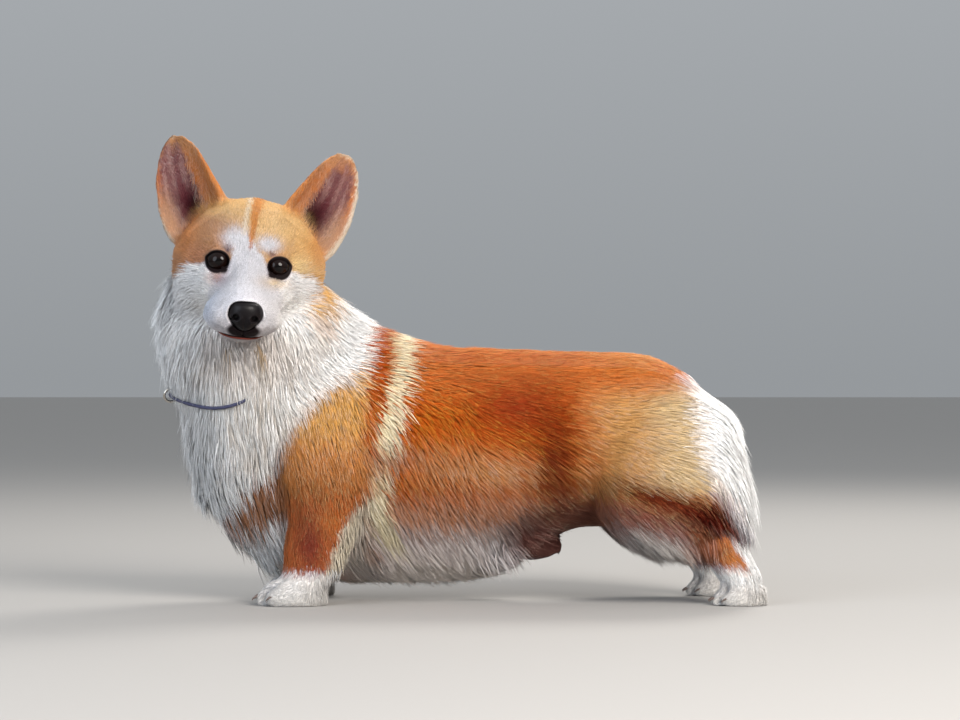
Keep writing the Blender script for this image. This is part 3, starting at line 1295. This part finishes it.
# name, families, side, part of them, tufts, slot, style
COATS = (
    ("coat_face", HEAD, BOTH, face_part, 30000, "coat_white",
     style_of(unwrap_head, width=0.75, swirl=0.5, stray=0.14, clump=6, draw=0.2, mix=0.8, even=0.5,
              speckle=0.1, under=0.1)),
    ("coat_crown", HEAD, BOTH, crown_part, 12000, "coat_red",
     style_of(unwrap_head, width=1.0, stray=0.13, mix=1.5, clump=10)),
    ("coat_ears", ("ear",), BOTH, None, 15000, "coat_ear",
     style_of(unwrap_ears, width=0.75, swirl=0.6, stray=0.16, clump=6, draw=0.25, mix=1.0, under=0.15,
              even=0.75)),
    ("coat_ear_hollows", ("ear",), BOTH, ear_hollow, 700, "coat_white",
     style_of(unwrap_ears, length=2.3, lift=0.7, width=0.5, stray=0.3, stand=0.25, clump=7, draw=0.45,
              under=0.0, turned=0.8, tint=0.12)),
    ("coat_ruff_left", ("neck",), LEFT, None, 25000, "coat_white", style_of(unwrap_neck, width=1.05, **RUFF)),
    ("coat_ruff_right", ("neck",), RIGHT, None, 22000, "coat_white", style_of(unwrap_neck, **RUFF)),
    ("coat_chest", ("chest",), BOTH, None, 28000, "coat_white",
     style_of(unwrap_trunk, swirl=1.5, stray=0.16, stand=0.1, clump=14, mix=3.0, even=0.93)),
    ("coat_barrel_left", ("barrel",), LEFT, None, 23000, "coat_red", style_of(unwrap_trunk)),
    ("coat_barrel_right", ("barrel",), RIGHT, None, 20000, "coat_red", style_of(unwrap_trunk)),
    ("coat_rump_left", ("rump", "tail", "thigh"), LEFT, None, 24000, "coat_gold",
     style_of(unwrap_trunk, loose=0.02)),
    ("coat_rump_right", ("rump", "tail", "thigh"), RIGHT, None, 21000, "coat_gold",
     style_of(unwrap_trunk, loose=0.02)),
    ("coat_forelegs", ("foreleg_upper", "foreleg_lower"), BOTH, None, 13000, "coat_red",
     style_of(unwrap_legs, width=1.0, clump=8)),
    ("coat_feet", ("hock", *PAWS), BOTH, None, 13000, "coat_white",
     style_of(unwrap_legs, width=0.75, lift=0.8, clump=7, draw=0.25, mix=1.0, under=0.1, even=0.6)),
)


def build_coat(surface, plan, seed):
    """Grows one coat piece over its share of the skin."""
    name, families, side, part, count, slot, style = plan
    rng = np.random.default_rng(seed)
    centre, normal = surface.middles(surface.points), surface.middles(surface.normal)
    owner = surface.middles(surface.weights).argmax(1)
    chosen = np.isin(owner, [FAMILIES.index(f) for f in families])
    if side:
        chosen &= np.sign(centre[:, 1]) == side
    if part:
        chosen &= part(to_head(centre), normal @ HEAD_AXES.T)
    soles = (centre[:, 2] < 1.5) & (normal[:, 2] < -0.7)
    chosen &= (surface.middles(surface.bare) < 0.35) & ~soles
    # Short coat is set more thickly than long
    thickness = (12 / np.maximum(surface.middles(surface.length)[chosen], 3)) ** 0.55
    corners, mix = scatter(surface, chosen, count, thickness, rng)
    piece = grow(surface, name, corners, mix, rng, style)
    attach(piece, "root")
    return piece


# Eyes, nose, claws, collar


def finished(name, node_names, material):
    piece = bpy.context.view_layer.objects.active
    piece.name = name
    piece.data.name = name
    piece.data.materials.clear()
    piece.data.materials.append(material)
    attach(piece, "root")
    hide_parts(*node_names)
    return piece


def eye_material():
    """Eyeball: a clear wet cornea, smooth as glass, over the dark iris; it gives the eye its catchlight."""
    material, tree, shader = new_material("Wet cornea over iris", {
        "Roughness": 0.5, "Specular IOR Level": 0.0, "Coat Weight": 0.6, "Coat Roughness": 0.015,
        "Coat IOR": 1.376})
    colour = add_node(tree, "ShaderNodeAttribute", {"attribute_name": "Coat"})
    tree.links.new(colour.outputs["Color"], shader.inputs["Base Color"])
    return material


def unit_ball(segments, rings):
    """A ball of radius 1 as a start: its mesh and its points."""
    bpy.ops.object.select_all(action="DESELECT")
    bpy.ops.mesh.primitive_uv_sphere_add(segments=segments, ring_count=rings, radius=1)
    mesh = bpy.context.active_object.data
    return mesh, read(mesh)[0]


def build_eye(sign, side, material):
    """An eyeball with its cornea standing out and a dark brown iris."""
    mesh, co = unit_ball(64, 40)
    # Angle from the middle of the pupil, and round it
    away = np.arccos(np.clip(co[:, 2], -1, 1))
    turn = np.arctan2(co[:, 1], co[:, 0])
    radius = EYE_RADIUS * (1 + 0.045 * smooth(0.85, 0.35, away))
    local = co[:, [0, 2, 1]] * radius[:, None]
    # The gaze is straight ahead, between the two openings' axes
    gaze = eye_axes(sign * 0.35)
    gaze[0] = unit(np.cross(gaze[1], np.array([0.0, 0.0, 1.0])))
    gaze[2] = np.cross(gaze[0], gaze[1])
    move(mesh, from_head(local @ gaze + eye_centre(sign)))
    streak = 0.5 + 0.5 * np.sin(turn * 23) * np.sin(turn * 37 + 1)
    colours = np.tile(linear("#0C0606"), (len(co), 1))
    iris = (smooth(0.80, 0.70, away) * smooth(0.26, 0.34, away))[:, None]
    colours = colours * (1 - iris) + iris * linear("#130907") * (0.6 + 0.6 * streak)[:, None]
    pupil = smooth(0.32, 0.27, away)[:, None]
    colour_vertices(mesh, colours * (1 - pupil) + linear("#050303") * pupil)
    shade_smooth(mesh)
    return finished(f"eyeball_{side}", [f"eye_{side}"], material)


def nose_material():
    """Nose leather: moist pebbled skin, a little oily, with a broken gloss over black."""
    material, tree, shader = new_material("Moist nose leather", {
        "Base Color": rgba("#0B0709"), "Roughness": 0.45, "IOR": 1.42, "Specular IOR Level": 0.16,
        "Coat Weight": 0.08, "Coat Roughness": 0.25})
    where = add_node(tree, "ShaderNodeTexCoord")
    # Pebbles about 0.9 mm across
    pebbles = add_node(tree, "ShaderNodeTexVoronoi", {"Scale": 1100.0, "feature": "SMOOTH_F1"},
                       Vector=where.outputs["Object"])
    bump = add_node(tree, "ShaderNodeBump", {"Strength": 0.6, "Distance": 0.0003, "invert": True},
                    Height=pebbles.outputs["Distance"])
    tree.links.new(bump.outputs["Normal"], shader.inputs["Normal"])
    return material


# How far each nostril is from the nose's middle
NOSTRIL = 9.4


def build_nose():
    """Nose leather: broad above, narrow below, with comma nostrils and the groove between them."""
    mesh, co = unit_ball(128, 96)
    a, b, c = co.T
    s = NOSE_RADII[0] * np.sign(a) * np.abs(a) ** 0.92 * nose_breadth(c)
    u = NOSE_RADII[2] * np.where(c > 0, np.sin(c * math.pi / 2), c * 1.04)
    f = NOSE_RADII[1] * b * (1 + 0.10 * smooth(-0.3, 0.6, c))
    front = smooth(-0.05, 0.3, b)
    out = np.abs(s)
    # Nostril: a round opening that runs out and down into a slit
    hole = np.hypot(out - NOSTRIL, (u + 1.0) * 1.05)
    t = np.clip((out - NOSTRIL) / 8.0, 0, 1)
    slit = np.hypot(np.minimum(out - NOSTRIL, 0), u + 1.6 + 4.6 * t ** 1.4)
    open_slit = smooth(2.0, 0.7, slit) * smooth(18.5, 15.5, out)
    deep = np.maximum(smooth(3.8, 2.0, hole) * 6.0, open_slit * 3.4) * front
    rim = 0.9 * ridge(hole, 5.0, 1.5) * smooth(4.0, -1.0, u + 1) * front
    groove = 1.3 * ridge(s, 0, 1.0) * smooth(2.5, -3.0, u) * front
    move(mesh, from_head(np.stack([s, f - deep + rim - groove, u], 1) + NOSE_CENTRE))
    shade_smooth(mesh)
    return finished("nose_leather", ["nose"], nose_material())


def claw_material():
    """Claw horn: smooth and dark, worn to a dull gloss."""
    return new_material("Claw horn", {"Base Color": rgba("#5A4A42"), "Roughness": 0.38, "IOR": 1.54})[0]


def build_claws(foot, side, material):
    """Four curved claws of one paw, each along its node."""
    names = claw_names(foot, side)
    t = np.linspace(0, 1, 9)[:, None]
    parts = []
    for name in names:
        low, high = drawn(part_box(name))
        middle = (low[1] + high[1]) / 2
        root = np.array([high[0] + 1.5, middle, high[2] - 1.2])
        tip = np.array([low[0] - 1.0, middle, max(low[2] - 1.4, 0.5)])
        bow = np.array([tip[0] + 1.5, middle, root[2] - 0.2])
        line = root * (1 - t) ** 2 + 2 * t * (1 - t) * bow + tip * t ** 2
        thick = (high[2] - low[2]) * 0.36 * (1 - t[:, 0] ** 1.6) + 0.12
        parts.append(new_piece("claw", *tube(line, thick, 12, False)))
    joined(*parts)
    return finished(f"claws_{foot}_{side}", names, material)


def cord_material():
    """Slip cord: braided nylon, matte, with fine cross threads."""
    material, tree, shader = new_material(
        "Braided nylon cord", {"Base Color": rgba("#282A48"), "Roughness": 0.6, "IOR": 1.53})
    where = add_node(tree, "ShaderNodeTexCoord")
    # Threads about 0.4 mm apart
    threads = add_node(tree, "ShaderNodeTexNoise", {"Scale": 2500.0, "Detail": 1.0},
                       Vector=where.outputs["Object"])
    bump = add_node(tree, "ShaderNodeBump", {"Strength": 0.4, "Distance": 0.0002},
                    Height=threads.outputs["Fac"])
    tree.links.new(bump.outputs["Normal"], shader.inputs["Normal"])
    return material


def node_points(name):
    return drawn(pull(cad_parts[name].data.vertices, "co", 3))


# Turns of the cord's strands round each other in one round of the neck
TWISTS = 62


def build_cord():
    """Three twisted strands round the middle line of the cord's node."""
    points = node_points("collar_cord")
    centre = points.mean(0)
    turn = np.arctan2(points[:, 1] - centre[1], points[:, 0] - centre[0])

    def basis(angle):
        waves = [wave(k * angle) for k in range(1, 7) for wave in (np.cos, np.sin)]
        return np.stack([np.ones_like(angle)] + waves, 1)

    fit = np.linalg.lstsq(basis(turn), points, rcond=None)[0]
    radius = np.percentile(np.linalg.norm(points - basis(turn) @ fit, axis=1), 60)
    angles = np.linspace(-math.pi, math.pi, 420, endpoint=False)
    line = basis(angles) @ fit
    ahead = unit(np.roll(line, -1, 0) - np.roll(line, 1, 0))
    up = unit(np.cross(ahead, np.cross(np.array([0.0, 0.0, 1.0]), ahead)))
    aside = np.cross(ahead, up)
    parts = []
    for strand in range(3):
        phase = angles * TWISTS + strand * 2 * math.pi / 3
        offset = (up * np.cos(phase)[:, None] + aside * np.sin(phase)[:, None]) * radius * 0.5
        parts.append(new_piece("strand", *tube(line + offset, radius * 0.56, 6, True)))
    joined(*parts)
    return finished("collar_cord_twist", ["collar_cord"], cord_material())


def steel_material():
    """Collar ring: nickel-plated steel, tumbled smooth, with a clean metal gloss."""
    return new_material("Nickel-plated steel",
                        {"Base Color": rgba("#B9B4AC"), "Metallic": 1.0, "Roughness": 0.22})[0]


def build_ring():
    """The slip ring, round its node's own axis."""
    points = node_points("collar_ring")
    centre = points.mean(0)
    _, _, axes = np.linalg.svd(points - centre)
    out = np.linalg.norm((points - centre) @ axes[:2].T, axis=1)
    height = np.abs((points - centre) @ axes[2])
    turn = Vector(axes[2]).to_track_quat("Z", "Y").to_euler()
    bpy.ops.object.select_all(action="DESELECT")
    bpy.ops.mesh.primitive_torus_add(
        major_segments=64, minor_segments=14, location=placed(centre), rotation=turn,
        major_radius=(out.max() + out.min()) / 2 * MM, minor_radius=height.max() * MM)
    bpy.ops.object.transform_apply(location=True, rotation=True, scale=True)
    bpy.ops.object.shade_smooth()
    return finished("slip_ring", ["collar_ring"], steel_material())


# Operators


class CorgiSettings(bpy.types.PropertyGroup):
    """Sizes and finishes of the corgi that a user would change."""
    seed: bpy.props.IntProperty(name="Seed", description="Seed of the coat's random draws", default=7)
    floor_colour: bpy.props.FloatVectorProperty(
        name="Floor", description="Colour of the studio floor", subtype="COLOR", size=3,
        default=tuple(linear("#94918E")))


class CORGI_OT_skin(bpy.types.Operator):
    """Model the skin that stands for all nodes of flesh"""
    bl_idname = "corgi.skin"
    bl_label = "Skin"

    def execute(self, context):
        body = build_skin()
        body.data.materials.clear()
        body.data.materials.append(skin_material())
        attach(body, "root")
        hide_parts(*[n for f in FLESH for n in nodes_of(f)])
        return {"FINISHED"}


class CORGI_OT_coat(bpy.types.Operator):
    """Grow the coat of solid tufts over the skin"""
    bl_idname = "corgi.coat"
    bl_label = "Coat"

    def execute(self, context):
        surface = Surface(bpy.data.objects["skin"].data)
        for index, plan in enumerate(COATS):
            build_coat(surface, plan, context.scene.corgi.seed * 100 + index)
        return {"FINISHED"}


class CORGI_OT_eyes(bpy.types.Operator):
    """Model both eyeballs"""
    bl_idname = "corgi.eyes"
    bl_label = "Eyes"

    def execute(self, context):
        material = eye_material()
        # The left eye is on the head's positive side
        for sign, side in ((1, "left"), (-1, "right")):
            build_eye(sign, side, material)
        return {"FINISHED"}


class CORGI_OT_nose(bpy.types.Operator):
    """Model the nose leather"""
    bl_idname = "corgi.nose"
    bl_label = "Nose"

    def execute(self, context):
        build_nose()
        return {"FINISHED"}


class CORGI_OT_claws(bpy.types.Operator):
    """Model the claws of all four paws"""
    bl_idname = "corgi.claws"
    bl_label = "Claws"

    def execute(self, context):
        material = claw_material()
        for foot in ("fore", "hind"):
            for side in ("left", "right"):
                build_claws(foot, side, material)
        return {"FINISHED"}


class CORGI_OT_collar(bpy.types.Operator):
    """Model the slip collar's cord and ring"""
    bl_idname = "corgi.collar"
    bl_label = "Collar"

    def execute(self, context):
        build_cord()
        build_ring()
        return {"FINISHED"}


# Soft lights: name, place, aim and breadth in metres, watts, colour
LIGHTS = (
    ("key", (1.7, -2.5, 1.8), (-0.05, 0, 0.2), 2.0, 205, (1.0, 0.95, 0.89)),
    ("fill", (-2.2, -2.2, 1.3), (-0.1, 0, 0.2), 2.6, 74, (0.8, 0.89, 1.0)),
    ("rim", (0.9, 1.9, 2.3), (0, 0, 0.25), 1.2, 60, (1.0, 0.96, 0.9)),
)
# The photograph's view: level, 3 m away, the horizon a little under the middle
CAMERA_PLACE = (21.6, -3000.0, 240.8)
CAMERA_PITCH = 90.35
FOCAL_LENGTH, FRAME_WIDTH = 2778, 960  # in the photograph's pixels
SENSOR_WIDTH = 36


class CORGI_OT_stage(bpy.types.Operator):
    """Set the floor, the soft lights and the camera"""
    bl_idname = "corgi.stage"
    bl_label = "Stage"

    def execute(self, context):
        bpy.ops.object.select_all(action="DESELECT")
        bpy.ops.mesh.primitive_plane_add(size=60)
        floor = context.active_object
        floor.name = "floor"
        floor.data.materials.append(new_material("Painted studio floor", {
            "Base Color": (*context.scene.corgi.floor_colour, 1), "Roughness": 0.85})[0])

        # Even studio air, paler overhead; at the horizon it meets the far floor's tone
        world = bpy.data.worlds.new("Studio air")
        world.use_nodes = True
        tree = world.node_tree
        where = add_node(tree, "ShaderNodeTexCoord")
        parts = add_node(tree, "ShaderNodeSeparateXYZ", Vector=where.outputs["Generated"])
        tone = add_node(tree, "ShaderNodeMapRange", {"From Max": 0.7, "To Min": 0.42, "To Max": 0.95},
                        Value=parts.outputs["Z"])
        air = add_node(tree, "ShaderNodeVectorMath", {"operation": "SCALE"}, Scale=tone.outputs["Result"])
        air.inputs[0].default_value = (0.90, 0.95, 1.0)
        tree.links.new(air.outputs["Vector"], tree.nodes["Background"].inputs["Color"])
        tree.nodes["Background"].inputs["Strength"].default_value = 0.8
        context.scene.world = world
        for name, place, aim, size, power, colour in LIGHTS:
            bpy.ops.object.light_add(type="AREA", location=place)
            light = context.active_object
            light.name = name
            light.data.shape = "DISK"
            light.data.size = size
            light.data.energy = power
            light.data.color = colour
            light.rotation_euler = (Vector(aim) - Vector(place)).to_track_quat("-Z", "Y").to_euler()

        bpy.ops.object.camera_add(location=placed(np.array(CAMERA_PLACE)),
                                  rotation=(math.radians(CAMERA_PITCH), 0, 0))
        camera = context.active_object
        camera.data.sensor_width = SENSOR_WIDTH
        camera.data.lens = FOCAL_LENGTH / FRAME_WIDTH * SENSOR_WIDTH
        camera.data.clip_end = 100
        context.scene.camera = camera
        context.scene.view_settings.view_transform = "Standard"
        return {"FINISHED"}


class CORGI_PT_panel(bpy.types.Panel):
    """Lists the corgi's pieces"""
    bl_label = "Corgi"
    bl_idname = "CORGI_PT_panel"
    bl_space_type = "VIEW_3D"
    bl_region_type = "UI"
    bl_category = "Corgi"

    def draw(self, context):
        settings = context.scene.corgi
        self.layout.prop(settings, "seed")
        self.layout.prop(settings, "floor_colour")
        for operator in OPERATORS:
            self.layout.operator(operator.bl_idname)


OPERATORS = (CORGI_OT_skin, CORGI_OT_coat, CORGI_OT_eyes, CORGI_OT_nose, CORGI_OT_claws, CORGI_OT_collar,
             CORGI_OT_stage)
CLASSES = (CorgiSettings, *OPERATORS, CORGI_PT_panel)


def register():
    for item in CLASSES:
        bpy.utils.register_class(item)
    bpy.types.Scene.corgi = bpy.props.PointerProperty(type=CorgiSettings)


def unregister():
    del bpy.types.Scene.corgi
    for item in reversed(CLASSES):
        bpy.utils.unregister_class(item)


def main():
    register()
    bpy.ops.corgi.skin()
    bpy.ops.corgi.coat()
    bpy.ops.corgi.eyes()
    bpy.ops.corgi.nose()
    bpy.ops.corgi.claws()
    bpy.ops.corgi.collar()
    bpy.ops.corgi.stage()


if __name__ == "__main__":
    main()
